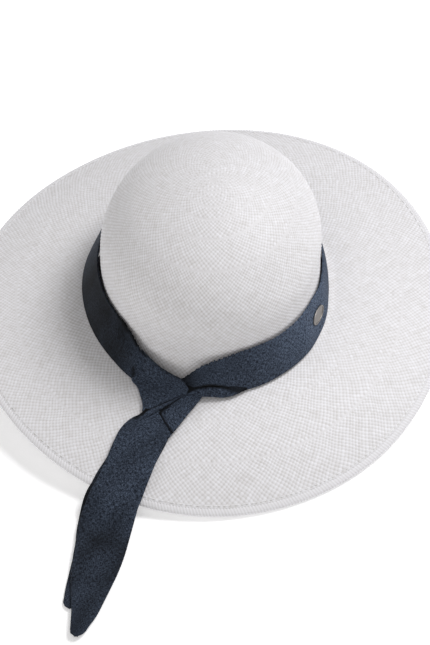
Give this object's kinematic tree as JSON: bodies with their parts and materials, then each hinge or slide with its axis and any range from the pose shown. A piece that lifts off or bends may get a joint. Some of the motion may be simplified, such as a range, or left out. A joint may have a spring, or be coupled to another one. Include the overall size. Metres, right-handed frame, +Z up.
{
  "type": "sun hat",
  "caption": "Wide-brimmed woven straw sun hat with a dome crown and a knotted cloth sash whose two tails hang over the brim.",
  "frame": {"origin": "centre of the head opening, level with the foot of the sash", "axes": "+Z up through the crown, +Y towards the wearer's front, +X towards the wearer's right"},
  "size_m": [0.3694, 0.5155, 0.1441],
  "materials": {
    "straw": "fine woven white straw, matt",
    "sash_cloth": "navy chambray, flecked",
    "white_thread": "sewing thread",
    "navy_thread": "sewing thread",
    "lining_cloth": "ribbed cotton band",
    "label_cloth": "blank woven label",
    "wire": "spring steel wire",
    "crimp": "crimped tube",
    "badge_metal": "dark pewter, blank"
  },
  "bodies": {
    "hat": {"straw_body": "straw", "brim_wire": "wire", "wire_joiner": "crimp", "hem_stitching": "white_thread", "sweatband": "lining_cloth", "sweatband_tab": "lining_cloth", "sweatband_stitching": "white_thread", "size_label": "label_cloth", "sash_band": "sash_cloth", "sash_tacks": "navy_thread", "knot_wrap": "sash_cloth", "knot_fold": "sash_cloth", "badge_plate": "badge_metal", "badge_backing": "badge_metal"},
    "back_tail": {"back_tail": "sash_cloth"},
    "front_tail": {"front_tail": "sash_cloth"}
  },
  "joints": [
    {"name": "tails_lift", "type": "hinge", "parent": "hat", "child": "back_tail", "pos_m": [-0.029, -0.139, -0.00387], "axis": [-0.9272, 0.3746, 0], "range_deg": [0, 60]},
    {"name": "front_tail_lift", "type": "hinge", "parent": "back_tail", "child": "front_tail", "pos_m": [-0.029, -0.139, -0.00187], "axis": [-0.9272, 0.3746, 0], "range_deg": [0, 60]}
  ]
}
